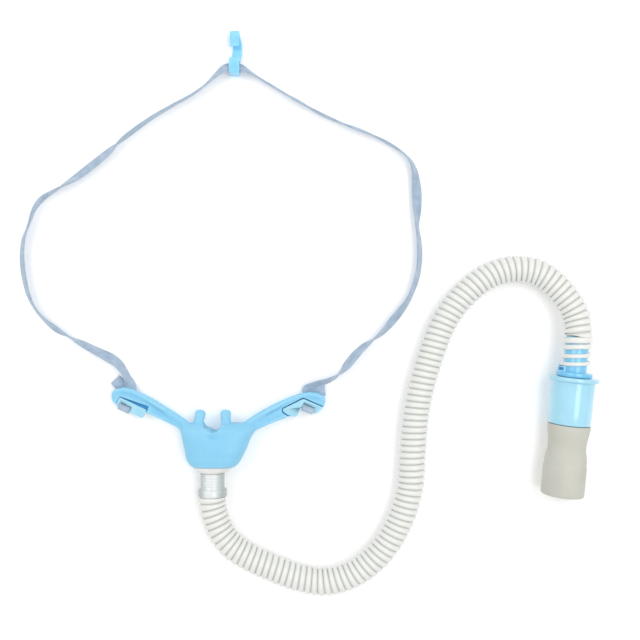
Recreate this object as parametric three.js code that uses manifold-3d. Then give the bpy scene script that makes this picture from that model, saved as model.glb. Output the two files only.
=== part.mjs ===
// Nasal oxygen cannula with head strap, tube clip, corrugated hose and swivel connector.
// It lies unheld on a level floor at z = 0: the soft nasal piece on its back with the prongs
// curving down, the strap as a loose loop standing on its lower edge, the hose in front.
// Millimetres, +Z up, +Y from the hose towards the prongs and the strap's far end.

import * as THREE from 'three';
import { mergeVertices } from 'three/addons/utils/BufferGeometryUtils.js';
import Module from 'manifold-3d';

const wasm = await Module();
wasm.setup();

// Clearances
const clearance = 0.3;            // gap between pieces that touch
const turningClearance = 0.35;    // radial gap of the swivel

// Nasal piece: the hollow chamber
const chamberWall = 1.8;
const chamberTopY = -89.8;        // upper end, where the prongs and wings stand
const chamberHeight = 24.7;       // from there to the lower end, where the adapter plugs in
const chamberHalfWidth = 21.6;    // at its widest ring
const chamberHalfDepth = 8.7;     // at its deepest ring
const hollowHeight = 17.3;
const plugHalfWidth = 8.2;        // oval socket for the adapter's plug
const plugHalfDepth = 5.2;
const plugLength = 6;
const notchHeight = 4.9;          // valley between the prongs, from the chamber's upper end
const notchHalfWidth = 4.85;
const noseX = -4.2;               // centre plane between the prongs

// Prongs
const prongOuterRadius = 3.05;
const prongWall = 0.8;
const prongBaseSpacing = 15.8;
const prongTipSpacing = 14.4;

// Wings
const wingThickness = 2.4;        // in the channel
const ridgeHeight = 1.3;          // rounded ridge along the upper edge, above the channel
const rimHeight = 0.6;            // lower rim, above the channel
const paddleZ = 5.3;              // middle height of the level paddle ends

// Buckle tabs in the paddles
const tabLength = 17;
const tabThickness = 1.5;
const tabCorner = 0.9;
const upperBar = 2.2;             // above the window
const windowHeight = 2;
const lowerBar = 1.2;             // below the window, which the strap turns round
const windowShift = 3.5;          // window's middle from the bar's middle, outwards
const pocketGap = 0.6;            // between a tab and the wall above it
const wedgeAngle = 5.5;           // degrees by which the left pocket opens towards the chamber

// Head strap
const strapWidth = 7;
const strapThickness = 1;

// Tube clip on the strap
const clipLength = 5.4;           // along the strap
const clipWall = 1.2;
const clipOpening = 6.6;          // square opening round the strap
const clipShankLength = 13.6;
const clipHookGap = 2.8;
const clipLipLength = 6.8;
const clipX = 8;                  // middle of the loop that the strap passes through
const clipY = 114.6;

// Adapter between the nasal piece and the hose
const adapterAxisZ = 8.6;
const adapterX = -4.3;
const ringHalfWidth = 10.9;
const ringHalfDepth = 7.3;
const ringThickness = 3;
const spigotRadius = 4.9;
const spigotLength = 5;
const adapterBore = 4;
const adapterRadius = 6.85;
const adapterLength = 9;
const bulgeRadius = 8.3;
const bulgeLength = 4.2;

// Hose
const hoseRadius = 7.8;
const hoseSides = 10;
const hoseSteps = 40;

// Hose end sleeve of the swivel connector, distances along the connector's axis
const sleeveRadius = 6.5;
const sleeveBore = 5;
const sleeveLength = 21.4;
const turnRadius = 8.15;          // the hose's last four turns, which grip the sleeve
const turnWidth = 2.4;
const turnPitch = 4.4;
const firstTurn = 2;              // from the sleeve's hose end to the middle of the first turn
const smallFlangeRadius = 10;
const smallFlangeThickness = 2.4;
const earLength = 3.8;
const earWidth = 6;
const earSlot = 1.6;
const swivelSpigotRadius = 6.1;
const swivelSpigotLength = 7;

// Connector barrel and rubber cuff
const bigFlangeRadius = 14;
const bigFlangeThickness = 2.2;
const barrelRadius = 12;
const barrelEndRadius = 11.7;
const barrelLength = 24.4;
const barrelWall = 1.6;
const cuffSpigotLength = 13;
const cuffSpigotRadius = 9.1;
const cuffLength = 40.1;
const cuffTopRadius = 11.9;
const cuffWaistRadius = 10.5;
const cuffEndRadius = 12.1;
const cuffBore = 9.4;

// Where the connector lies: middle of the big flange's hose side, and the axis from there
const connectorX = 200.2;
const connectorY = -63.2;
const connectorLift = 0.15;       // keeps the tilted flange's rim clear of the floor
const connectorHeading = 5.3;     // degrees that the axis turns from -Y towards -X
const connectorPitch = 1.75;      // degrees that it dips, so flange and cuff end both touch the floor

// Colours
const colours = {
  silicone: 0x9edcf7, tab: 0xaee6f8, strap: 0xb4c9e0, clip: 0xa0e0fb, ring: 0xf1efee,
  clear: 0xc5cccc, hose: 0xeceeea, sleeve: 0x92defc, barrel: 0xb0e6fa, cuff: 0xd2d2c8,
};

// The origin lies on the floor below the middle of the strap loop and nasal piece
const part = new THREE.Group();
part.position.set(0.3, -2, 0);
const rad = THREE.MathUtils.degToRad;
const point = (x, y, z) => new THREE.Vector3(x, y, z);

function addMesh(name, geometry, colour, roughness, place) {
  const material = new THREE.MeshStandardMaterial({ color: colour, roughness, metalness: 0 });
  const mesh = new THREE.Mesh(geometry, material);
  mesh.name = name;
  if (place) mesh.applyMatrix4(place);
  part.add(mesh);
}

// Closed skin over a row of rings of equal point count, with a fan at each end
function loft(rings) {
  const count = rings[0].length;
  const positions = [];
  const faces = [];
  for (const ring of rings) for (const p of ring) positions.push(p.x, p.y, p.z);
  for (let r = 0; r + 1 < rings.length; r++) {
    for (let i = 0; i < count; i++) {
      const a = r * count + i;
      const b = r * count + (i + 1) % count;
      faces.push(a, b, b + count, a, b + count, a + count);
    }
  }
  for (const [ring, start] of [[0, 1], [rings.length - 1, 0]]) {
    const middle = rings[ring].reduce((sum, p) => sum.add(p), point(0, 0, 0)).divideScalar(count);
    const m = positions.length / 3;
    positions.push(middle.x, middle.y, middle.z);
    for (let i = 0; i < count; i++) {
      const a = ring * count + i;
      const b = ring * count + (i + 1) % count;
      faces.push(...(start ? [m, b, a] : [m, a, b]));
    }
  }
  const geometry = new THREE.BufferGeometry();
  geometry.setAttribute('position', new THREE.Float32BufferAttribute(positions, 3));
  geometry.setIndex(signedVolume(positions, faces) < 0 ? faces.reverse() : faces);
  geometry.computeVertexNormals();
  return geometry;
}

function signedVolume(positions, faces) {
  const at = (i) => point(positions[3 * i], positions[3 * i + 1], positions[3 * i + 2]);
  let volume = 0;
  for (let i = 0; i < faces.length; i += 3) {
    volume += at(faces[i]).dot(at(faces[i + 1]).cross(at(faces[i + 2]))) / 6;
  }
  return volume;
}

// Between three.js geometry and a solid that can be cut and joined
function toSolid(geometry, place) {
  const bare = geometry.clone();
  if (place) bare.applyMatrix4(place);
  bare.deleteAttribute('normal');
  bare.deleteAttribute('uv');
  const merged = mergeVertices(bare, 1e-4);
  return new wasm.Manifold(new wasm.Mesh({
    numProp: 3,
    vertProperties: new Float32Array(merged.attributes.position.array),
    triVerts: new Uint32Array(merged.index.array),
  }));
}

function toGeometry(solid) {
  const mesh = solid.getMesh();
  const geometry = new THREE.BufferGeometry();
  geometry.setAttribute('position', new THREE.Float32BufferAttribute(mesh.vertProperties, 3));
  geometry.setIndex(Array.from(mesh.triVerts));
  geometry.computeVertexNormals();
  return geometry;
}

// Rounded oval ring in the plane y: 2 gives an ellipse, more gives a boxier oval
function ovalRing(y, x, z, halfWidth, halfDepth, power = 2.5, count = 36) {
  const ring = [];
  for (let i = 0; i < count; i++) {
    const a = (2 * Math.PI * i) / count;
    const c = Math.cos(a);
    const s = Math.sin(a);
    ring.push(point(
      x + halfWidth * Math.sign(c) * Math.abs(c) ** (2 / power),
      y,
      z + halfDepth * Math.sign(s) * Math.abs(s) ** (2 / power),
    ));
  }
  return ring;
}

// Round bar along points that bend in a plane of constant x
function bentBar(points, radius, count = 24) {
  return loft(points.map((p, i) => {
    const along = points[Math.min(i + 1, points.length - 1)].clone()
      .sub(points[Math.max(i - 1, 0)]).normalize();
    const side = point(1, 0, 0).addScaledVector(along, -along.x).normalize();
    const up = side.clone().cross(along);
    return Array.from({ length: count }, (_, k) => {
      const a = (2 * Math.PI * k) / count;
      return p.clone().addScaledVector(side, radius * Math.cos(a))
        .addScaledVector(up, radius * Math.sin(a));
    });
  }));
}

function boxAt(width, depth, height, place) {
  return toSolid(new THREE.BoxGeometry(width, depth, height), place);
}

function lathe(profile, segments = 40) {
  return new THREE.LatheGeometry(profile.map(([r, s]) => new THREE.Vector2(r, s)), segments);
}

// Chamber outside: share of its height, centre x, shares of its half width and depth, centre z
const chamberLipY = chamberTopY - chamberHeight;
const chamberRings = [
  [0, -3.6, 0.565, 0.85, 8.7], [0.045, -3.5, 0.635, 0.92, 8.7], [0.16, -3.5, 0.722, 0.977, 8.8],
  [0.385, -2.6, 0.817, 1, 8.9], [0.648, -2.1, 0.91, 0.989, 8.9], [0.854, -1.1, 1, 0.92, 8.8],
  [0.943, -0.9, 0.99, 0.782, 8.4], [1, -0.9, 0.93, 0.529, 8],
].map(([up, x, w, d, z]) => [
  chamberLipY + up * chamberHeight, x, w * chamberHalfWidth, d * chamberHalfDepth, z,
]);
const inset = (ring) => [ring[0], ring[1], ring[2] - chamberWall, ring[3] - chamberWall, ring[4]];
const chamberHollow = [
  ovalRing(chamberLipY + plugLength, adapterX, adapterAxisZ, plugHalfWidth, plugHalfDepth),
  ...[2, 3, 4].map((i) => inset(chamberRings[i])).map(([y, x, w, d, z]) => ovalRing(
    Math.max(y, chamberLipY + plugLength + 1), x, z, w, d)),
  ovalRing(chamberLipY + hollowHeight, -2.2, 8.8, chamberHalfWidth - 4, chamberHalfDepth - 2.3),
];
const socket = [
  ovalRing(chamberLipY - 1, adapterX, adapterAxisZ, plugHalfWidth, plugHalfDepth),
  ovalRing(chamberLipY + plugLength + 0.5, adapterX, adapterAxisZ, plugHalfWidth, plugHalfDepth),
];

// Prong centre lines: they leave the chamber's front and curve back to the floor
function prongLine(sign) {
  const base = noseX + (sign * prongBaseSpacing) / 2;
  const tip = noseX + (sign * prongTipSpacing) / 2;
  return [
    point(base, chamberTopY - 9.2, 10.6), point(base, chamberTopY - 5.2, 10.9),
    point(base, chamberTopY - 2.2, 10.6), point((2 * base + tip) / 3, chamberTopY + 0.3, 9.8),
    point((base + 2 * tip) / 3, chamberTopY + 2.8, 8.4), point(tip, chamberTopY + 6.1, 6),
  ];
}

// Wing section across the wing, from its lower to its upper edge, for a half width h.
// flat is 0 in the channel and 1 on the paddle, whose front is level.
function wingSection(h, flat, scale) {
  const half = (wingThickness / 2) * scale;
  const ridge = half + ridgeHeight * scale;
  const rim = half + rimHeight * scale;
  const level = THREE.MathUtils.lerp(half, ridge, flat * 0.5);
  return [
    [-h, 0], [-h + 0.35, rim * 0.75], [-h + 1.2, THREE.MathUtils.lerp(rim, level, flat)],
    [-h + 2.2, level], [h - 3.6, level], [h - 2.6, THREE.MathUtils.lerp(ridge, level, flat * 0.6)],
    [h - 1.2, ridge], [h - 0.3, ridge * 0.6], [h, 0], [h - 0.4, -half * 0.7], [h - 1.3, -half],
    [-h + 1.3, -half], [-h + 0.4, -half * 0.7],
  ];
}

// Wing stations: x, y above the chamber's upper end, z, half width, flatness of the front, thickness scale
const leftWing = [
  [-14, -5.7, 9.4, 3.6, 0, 0.9], [-19, -2.2, 9.2, 3.6, 0, 1], [-23.7, 1, 8.8, 3.6, 0, 1],
  [-30.3, 4.6, 7.8, 3.9, 0, 1], [-37.8, 8.4, 6.4, 4.4, 0, 1], [-43, 10.6, 5.6, 4.9, 0.4, 1],
  [-46.5, 11.8, paddleZ, 5.3, 1, 1], [-51.9, 13.8, paddleZ, 5.8, 1, 1], [-56.4, 14.8, paddleZ, 5.8, 1, 1],
  [-59.4, 14.9, paddleZ, 5, 1, 1], [-61.4, 14.8, paddleZ, 3.9, 1, 0.85],
  [-62.6, 14.7, paddleZ, 2.7, 1, 0.5],
];
const rightWing = [
  [9.5, -7.2, 9.4, 4.2, 0, 0.9], [14, -3.6, 9.2, 4.3, 0, 1], [18.8, -0.5, 8.9, 4.3, 0, 1],
  [26.1, 3.4, 8, 4.6, 0, 1], [32.9, 6.4, 6.7, 5, 0, 1], [37.4, 8, 5.8, 5.4, 0.4, 1],
  [41, 9.2, paddleZ, 5.7, 1, 1], [46.5, 10.8, paddleZ, 6.1, 1, 1], [52, 11.8, paddleZ, 6.1, 1, 1],
  [56, 11.9, paddleZ, 5.3, 1, 1], [58.6, 11.5, paddleZ, 4.1, 1, 0.85],
  [60, 11.2, paddleZ, 2.8, 1, 0.5],
];
const up = point(0, 0, 1);

function wing(stations, sign) {
  const points = stations.map(([x, y, z]) => point(x, chamberTopY + y, z));
  return loft(stations.map(([, , , h, flat, scale], i) => {
    const along = points[Math.min(i + 1, points.length - 1)].clone()
      .sub(points[Math.max(i - 1, 0)]).normalize();
    const across = up.clone().cross(along).multiplyScalar(sign).normalize();
    const front = across.clone().cross(along).multiplyScalar(-sign).normalize();
    return wingSection(h, flat, scale).map(([v, w]) => points[i].clone()
      .addScaledVector(across, v).addScaledVector(front, w));
  }));
}

// Buckle tabs: middle of the window, heading of its outer end in degrees, and side. The left tab is a
// bar in line with its window. The right one is turned by the strap's pull and broader, so its outline
// is set by points from the window's middle.
const windowWidth = strapWidth + 2 * clearance;
const tabHeight = upperBar + windowHeight + lowerBar;
const tabTop = windowHeight / 2 + upperBar;
const barOuter = windowHeight / 2 + lowerBar;
const pocketFloorZ = paddleZ;
const tabZ = pocketFloorZ + clearance;
const tabs = {
  left: { x: -54.4, y: chamberTopY + 9.6, heading: 154.6, side: 1 },
  right: { x: 50.6, y: chamberTopY + 9, heading: -22, side: -1 },
};
const rightOutline = [
  [-13.4, -6.6], [-5, tabTop - 0.4], [-3.9, tabTop], [7.2, tabTop - 0.4], [7.8, tabTop - 1.2], [5.6, -1.3],
  [4.6, -barOuter], [-4.2, -barOuter], [-4.3, -6.9], [-5, -8], [-6.5, -8.4], [-10.2, -8.6], [-12.7, -7.9],
];
function tabPlace({ x, y, heading }, z) {
  return new THREE.Matrix4().makeTranslation(x, y, z)
    .multiply(new THREE.Matrix4().makeRotationZ(rad(heading)));
}
function roundedOutline(target, width, height, corner, x = 0, y = 0) {
  const w = width / 2;
  const h = height / 2;
  target.moveTo(x - w + corner, y - h);
  target.lineTo(x + w - corner, y - h);
  target.absarc(x + w - corner, y - h + corner, corner, -Math.PI / 2, 0);
  target.absarc(x + w - corner, y + h - corner, corner, 0, Math.PI / 2);
  target.absarc(x - w + corner, y + h - corner, corner, Math.PI / 2, Math.PI);
  target.absarc(x - w + corner, y - h + corner, corner, Math.PI, 1.5 * Math.PI);
  target.closePath();
  return target;
}
function outlineThrough(points) {
  return new THREE.Shape(points.map(([x, y]) => new THREE.Vector2(x, y)));
}

let cannula = toSolid(loft(chamberRings.map(([y, x, w, d, z]) => ovalRing(y, x, z, w, d))));
cannula = cannula.add(toSolid(wing(leftWing, -1))).add(toSolid(wing(rightWing, 1)));
for (const sign of [-1, 1]) cannula = cannula.add(toSolid(bentBar(prongLine(sign), prongOuterRadius)));
const notchShape = new THREE.Shape();
const notchBottomY = chamberTopY - notchHeight;
notchShape.moveTo(noseX - notchHalfWidth, chamberTopY + 3);
notchShape.lineTo(noseX - notchHalfWidth, notchBottomY + 2.7);
notchShape.lineTo(noseX - 2.1, notchBottomY + 1.7);
notchShape.lineTo(noseX + 0.7, notchBottomY);
notchShape.lineTo(noseX + 1.5, notchBottomY);
notchShape.lineTo(noseX + notchHalfWidth, notchBottomY + 2.6);
notchShape.lineTo(noseX + notchHalfWidth, chamberTopY + 3);
notchShape.closePath();
cannula = cannula.subtract(toSolid(new THREE.ExtrudeGeometry(
  notchShape, { depth: 3 * chamberHalfDepth, bevelEnabled: false })));
cannula = cannula.subtract(toSolid(loft(chamberHollow))).subtract(toSolid(loft(socket)));
for (const sign of [-1, 1]) {
  const line = prongLine(sign);
  const tip = line[line.length - 1];
  const beyond = tip.clone().add(tip.clone().sub(line[line.length - 2]));
  cannula = cannula.subtract(toSolid(bentBar([...line, beyond], prongOuterRadius - prongWall)));
}

// Pocket for each tab, open downwards, and the gap below it that the strap passes through
const pastRim = 14;               // how far a pocket is cut downwards, past the paddle's lower rim
const cutHeight = 10;
for (const [side, tab] of Object.entries(tabs)) {
  const pocketTop = tabTop + pocketGap;
  const pocket = side === 'right'
    ? outlineThrough([
      [-9.8, -pastRim], [-9.8, -8.7 - pocketGap], [-13.1, -8 - pocketGap],
      [rightOutline[0][0] - pocketGap, rightOutline[0][1]],
      [-5 - pocketGap / 2, pocketTop - 0.3], [-3.9, pocketTop], [7.5, pocketTop - 0.4],
      [7.8 + pocketGap, tabTop - 1], [7.8 + pocketGap, -pastRim]])
    : outlineThrough([
      [tabLength / 2 - windowShift + clearance, pastRim],
      [tabLength / 2 - windowShift + clearance, -pocketTop + pocketGap / 2],
      [-tabLength / 2 - windowShift - clearance, -pocketTop - tabLength * Math.sin(rad(wedgeAngle))],
      [-tabLength / 2 - windowShift - clearance, pastRim]]);
  cannula = cannula.subtract(toSolid(new THREE.ExtrudeGeometry(
    pocket, { depth: cutHeight, bevelEnabled: false }), tabPlace(tab, pocketFloorZ)));
  const gapTop = windowHeight / 2 + 3 * clearance;
  const strapGap = new THREE.Matrix4().makeTranslation(0, (tab.side * (pastRim - gapTop)) / 2, 0);
  cannula = cannula.subtract(boxAt(windowWidth + 1, pastRim + gapTop, 2 * cutHeight,
    tabPlace(tab, pocketFloorZ).multiply(strapGap)));
}
addMesh('cannula_body', toGeometry(cannula), colours.silicone, 0.45);

for (const [side, tab] of Object.entries(tabs)) {
  const outline = side === 'right'
    ? outlineThrough(rightOutline)
    : roundedOutline(new THREE.Shape(), tabLength, tabHeight, tabCorner, -windowShift,
      (lowerBar - upperBar) / 2);
  outline.holes.push(roundedOutline(new THREE.Path(), windowWidth, windowHeight, 0.5));
  const plate = new THREE.ExtrudeGeometry(outline,
    { depth: tabThickness, bevelEnabled: false, curveSegments: 3 });
  addMesh(`buckle_${side}`, plate, colours.tab, 0.4, tabPlace(tab, tabZ));
}

// Strap round a tab's lower bar: distance above the window's middle, and height. From the loop it
// passes under the paddle, up through the window, over the bar, and back underneath to its loose end.
const tabMidZ = tabZ + tabThickness / 2;
const mainZ = paddleZ - wingThickness / 2 - clearance - strapThickness / 2;
const tailZ = mainZ - strapThickness - clearance;
const turnZ = tabThickness / 2 + clearance + strapThickness / 2 + 0.2;
const turnOut = clearance + strapThickness / 2;
const strapTurn = [
  [5.4, mainZ], [3.4, mainZ], [2, mainZ], [1, mainZ + 0.6], [0.3, tabMidZ - 1],
  [-0.1, tabMidZ + 0.6], [-windowHeight / 2 + 0.5, tabMidZ + turnZ - 0.4],
  [-windowHeight / 2 - 0.4, tabMidZ + turnZ + 0.1], [-barOuter + 0.1, tabMidZ + turnZ],
  [-barOuter - turnOut + 0.3, tabMidZ + 1.1], [-barOuter - turnOut, tabMidZ],
  [-barOuter - turnOut + 0.3, tabMidZ - 1.1], [-barOuter + 0.3, tabMidZ - turnZ - 0.2],
  [-0.9, tailZ + 1.1], [1, tailZ + 0.2], [3.4, tailZ],
];

// Strap stations: x, y, lean in degrees from standing on edge, and extra lift of the lower edge, for a
// distance of strapReach from the chamber's upper end to the clip. Another distance stretches the loop.
// A positive lean tips the upper edge away from the inside of the loop.
const strapReach = 204.4;
const leftStrap = [
  [3, 114.4, 45, 1.5], [-2.6, 110.4, 30, 0.5], [-8.4, 105.1, 18, 0], [-15.7, 99.6, 14, 0],
  [-29.9, 91.5, 8, 0], [-40.8, 84.9, 3, 0], [-57, 72.9, 4, 0], [-64, 66.8, 38, 0],
  [-71.3, 60.9, 48, 0], [-82.6, 52.1, 44, 0], [-94.8, 44.3, 10, 0], [-103, 38.9, -4, 0],
  [-107.4, 33.3, 4, 0], [-110.4, 24.9, 14, 0], [-113.8, 15.6, 28, 0], [-114.7, 7.2, 32, 0],
  [-114.3, -1, 34, 0], [-112.9, -9.6, 32, 0], [-110.4, -18, 26, 0], [-106.6, -25.2, 18, 0],
  [-101.2, -31.4, 23, 0], [-95, -36.3, 33, 0], [-89.4, -39.5, 14, 0], [-84.8, -42, 0, 0],
  [-80.3, -44.4, -18, 0], [-75.6, -46.9, -25, 0], [-70, -49.8, -34, 0], [-63.9, -53, -44, 0],
  [-59.2, -56.4, -34, 0], [-55.8, -60.8, -22, 0], [-53.8, -65, -24, 0], [-52.8, -67.8, -50, 0],
  [-52.2, -70.2, -86, 0],
];
const rightStrap = [
  [10, 114.6, 45, 1.5], [14.6, 112.8, 26, 0.6], [20, 109.6, 13, 0], [28.1, 104.6, 8, 0],
  [35.8, 100, 9, 0], [44, 95.4, 18, 0], [54.2, 89.4, 5, 0], [62.3, 85.4, 5, 0], [69.6, 82.4, 11, 0],
  [77.9, 79.3, 19, 0], [85.4, 76.3, 15, 0], [95.4, 71.3, 4, 0], [105, 65.2, 12, 0],
  [109.2, 60.6, 18, 0], [111.3, 55.6, 30, 0], [112.3, 49.4, 44, 0], [112.8, 42.3, 56, 0],
  [113, 33.6, 46, 0], [113, 23.1, 18, 0], [114, 15.1, 23, 0], [114.4, 6.6, 27, 0],
  [113.9, -0.9, 25, 0], [112.4, -7.7, 27, 0], [110, -14.7, 22, 0], [107.2, -20.4, 26, 0],
  [103.3, -25.9, 37, 0], [98.9, -31.3, 39, 0], [95, -36, 29, 0], [91.2, -39.6, 17, 0],
  [87.3, -42.6, 0, 0], [83.2, -45.6, -22, 0], [79, -49.5, -33, 0], [75.2, -53.9, -38, 0],
  [71.9, -58, -30, 0], [69, -61.2, -8, 0], [65.6, -64, 14, 0], [61, -66.2, 24, 0.3],
  [56.4, -67.6, 34, 1], [52.4, -69.6, 50, 1], [50, -71.6, 83, 0],
];
// The loose ends: x of their middle, and y above the chamber's upper end, after the turn round the tab
const leftTail = [[-56.3, 16], [-57.2, 19.2], [-59.2, 22.2], [-61.3, 24.5]];
const rightTail = [[53.4, 15.4], [55.4, 17.4], [57.6, 18.2], [60, 18.5]];

function ribbonRing(middle, across, thick) {
  const w = strapWidth / 2;
  const t = strapThickness / 2;
  return [[w, t], [-w, t], [-w, -t], [w, -t]].map(([a, b]) => middle.clone()
    .addScaledVector(across, a).addScaledVector(thick, b));
}

// One half of the strap, from the clip to its loose end behind the paddle
function strapHalf(handSet, tab, tail, sign) {
  const stretch = (clipY - chamberTopY) / strapReach;
  const stations = handSet.map(([x, y, ...rest]) => [x, clipY - (clipY - y) * stretch, ...rest]);
  const frames = stations.map(([x, y, lean, lift], i) => {
    const [ax, ay] = stations[Math.max(i - 1, 0)];
    const [bx, by] = stations[Math.min(i + 1, stations.length - 1)];
    const outward = point(by - ay, ax - bx, 0).multiplyScalar(-sign).normalize();
    const across = outward.clone().multiplyScalar(Math.sin(rad(lean)))
      .addScaledVector(up, Math.cos(rad(lean)));
    const z = (strapWidth / 2) * Math.cos(rad(lean))
      + (strapThickness / 2) * Math.abs(Math.sin(rad(lean))) + lift + strapRise(lean);
    return { middle: point(x, y, z), across };
  });
  const side = point(Math.cos(rad(tab.heading)), Math.sin(rad(tab.heading)), 0);
  const above = point(-side.y, side.x, 0).multiplyScalar(-tab.side);
  const window = point(tab.x, tab.y, 0);
  const last = frames[frames.length - 1].across;
  const turnAcross = side.clone().multiplyScalar(Math.sign(side.dot(last)));
  for (const [d, z] of strapTurn) {
    frames.push({ middle: window.clone().addScaledVector(above, d).setZ(z), across: turnAcross });
  }
  const end = frames[frames.length - 1].middle;
  const tailPoints = tail.map(([x, y]) => [x, chamberTopY + y]);
  tailPoints.forEach(([x, y], i) => {
    const before = i ? tailPoints[i - 1] : [end.x, end.y];
    const after = tailPoints[Math.min(i + 1, tail.length - 1)];
    const across = point(after[1] - before[1], before[0] - after[0], 0).normalize();
    if (across.dot(turnAcross) < 0) across.negate();
    frames.push({ middle: point(x, y, tailZ), across });
  });
  return frames;
}
// Height that the band gains while it flattens to pass under a paddle
function strapRise(lean) {
  const flatness = Math.max(0, (Math.abs(lean) - 50) / 40);
  return flatness * (mainZ - strapThickness / 2);
}

const leftFrames = strapHalf(leftStrap, tabs.left, leftTail, 1);
const rightFrames = strapHalf(rightStrap, tabs.right, rightTail, -1);
const strapFrames = [...leftFrames.reverse(), ...rightFrames];
const strapRings = strapFrames.map(({ middle, across }, i) => {
  const along = strapFrames[Math.min(i + 1, strapFrames.length - 1)].middle.clone()
    .sub(strapFrames[Math.max(i - 1, 0)].middle).normalize();
  const flatAcross = across.clone().addScaledVector(along, -across.dot(along)).normalize();
  return ribbonRing(middle, flatAcross, along.clone().cross(flatAcross));
});
addMesh('head_strap', loft(strapRings), colours.strap, 0.95);

// Tube clip: a square loop round the strap, a shank, and a lip folded back over it
const loopOut = clipOpening + 2 * clipWall;
const clipShape = new THREE.Shape();
const half = loopOut / 2;
clipShape.moveTo(-half + 1, 0);
clipShape.lineTo(half - 1, 0);
clipShape.quadraticCurveTo(half, 0, half + 0.6, 1.1);
clipShape.quadraticCurveTo(half + clipShankLength / 2, 0.4, half + clipShankLength, 1.4);
const foldR = clipHookGap / 2 + clipWall;
clipShape.absarc(half + clipShankLength, 1.4 + foldR, foldR, -Math.PI / 2, Math.PI / 2);
clipShape.lineTo(half + clipShankLength - clipLipLength, 1.4 + 2 * foldR);
clipShape.lineTo(half + clipShankLength - clipLipLength, 1.4 + 2 * foldR - clipWall);
clipShape.lineTo(half + clipShankLength, 1.4 + 2 * foldR - clipWall);
clipShape.absarc(half + clipShankLength, 1.4 + foldR, clipHookGap / 2, Math.PI / 2, -Math.PI / 2, true);
clipShape.quadraticCurveTo(half + clipShankLength / 2, 0.4 + clipWall, half + 0.4, 1.3 + clipWall);
clipShape.lineTo(half, loopOut - 1);
clipShape.quadraticCurveTo(half, loopOut, half - 1, loopOut);
clipShape.lineTo(-half + 1, loopOut);
clipShape.quadraticCurveTo(-half, loopOut, -half, loopOut - 1);
clipShape.lineTo(-half, 1);
clipShape.quadraticCurveTo(-half, 0, -half + 1, 0);
const clipHole = new THREE.Path();
const open = clipOpening / 2;
clipHole.moveTo(-open, clipWall);
clipHole.lineTo(-open, clipWall + clipOpening);
clipHole.lineTo(open, clipWall + clipOpening);
clipHole.lineTo(open, clipWall);
clipHole.closePath();
clipShape.holes.push(clipHole);
const clip = new THREE.ExtrudeGeometry(clipShape,
  { depth: clipLength, bevelEnabled: false, curveSegments: 8 });
clip.translate(0, 0, -clipLength / 2);
// the outline's x becomes the part's Y, its y becomes Z, and its depth becomes X
clip.applyMatrix4(new THREE.Matrix4().makeBasis(point(0, 1, 0), point(0, 0, 1), point(1, 0, 0)));
addMesh('tube_clip', clip, colours.clip, 0.3, new THREE.Matrix4().makeTranslation(clipX, clipY, 0));

// White oval ring with its plug in the nasal piece's socket
const ringTopY = chamberLipY - clearance;
const plugTopY = chamberLipY + plugLength - clearance;
const ringBottomY = ringTopY - ringThickness;
const ringParts = [
  [plugTopY, plugHalfWidth - clearance - 0.3, plugHalfDepth - clearance - 0.3],
  [plugTopY - 0.6, plugHalfWidth - clearance, plugHalfDepth - clearance],
  [ringTopY, plugHalfWidth - clearance, plugHalfDepth - clearance],
];
const flangeParts = [
  [ringTopY, ringHalfWidth - 0.4, ringHalfDepth - 0.4], [ringTopY - 0.5, ringHalfWidth, ringHalfDepth],
  [ringTopY - 1.3, ringHalfWidth - 0.2, ringHalfDepth - 0.1], [ringBottomY, 7.3, 6.95],
];
const ringSkin = (list, power) => toSolid(loft(list.map(([y, w, d]) => ovalRing(
  y, adapterX, adapterAxisZ, w, d, power))));
const spigotHole = spigotRadius + clearance;
const alongY = (y, z = adapterAxisZ) => new THREE.Matrix4().makeTranslation(adapterX, y, z);
const ring = ringSkin([...ringParts.slice(0, 2), [ringTopY - 1, ...ringParts[2].slice(1)]], 2.5)
  .add(ringSkin(flangeParts, 2.2))
  .subtract(toSolid(new THREE.CylinderGeometry(spigotHole, spigotHole, 40, 36),
    alongY(ringTopY)));
addMesh('adapter_ring', toGeometry(ring), colours.ring, 0.35);

// Clear adapter: spigot, straight tube and bulged end against the hose
const tubeTop = ringBottomY - clearance;
const bulgeTop = tubeTop - adapterLength;
const adapterEnd = bulgeTop - bulgeLength;
const adapterProfile = [
  [adapterBore, tubeTop + spigotLength], [spigotRadius, tubeTop + spigotLength],
  [spigotRadius, tubeTop], [adapterRadius, tubeTop], [adapterRadius, bulgeTop + 0.7],
  [bulgeRadius - 0.5, bulgeTop], [bulgeRadius, bulgeTop - 1], [bulgeRadius, adapterEnd + 0.8],
  [bulgeRadius - 0.4, adapterEnd], [adapterBore, adapterEnd], [adapterBore, tubeTop + spigotLength],
];
addMesh('clear_adapter', toGeometry(toSolid(lathe(adapterProfile.reverse()), alongY(0))),
  colours.clear, 0.15);

// Connector frame: s runs along the axis from the big flange's hose side to the cuff's mouth
const axis = point(-Math.sin(rad(connectorHeading)) * Math.cos(rad(connectorPitch)),
  -Math.cos(rad(connectorHeading)) * Math.cos(rad(connectorPitch)), -Math.sin(rad(connectorPitch)));
const axisSide = point(-axis.y, axis.x, 0).normalize();
const axisUp = axisSide.clone().cross(axis).normalize();
const connectorPoint = point(connectorX, connectorY, bigFlangeRadius + connectorLift);
const connector = new THREE.Matrix4().makeBasis(axisSide.clone().negate(), axis, axisUp.clone().negate())
  .setPosition(connectorPoint);
if (connector.determinant() < 0) throw new Error('connector frame is mirrored');

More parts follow.
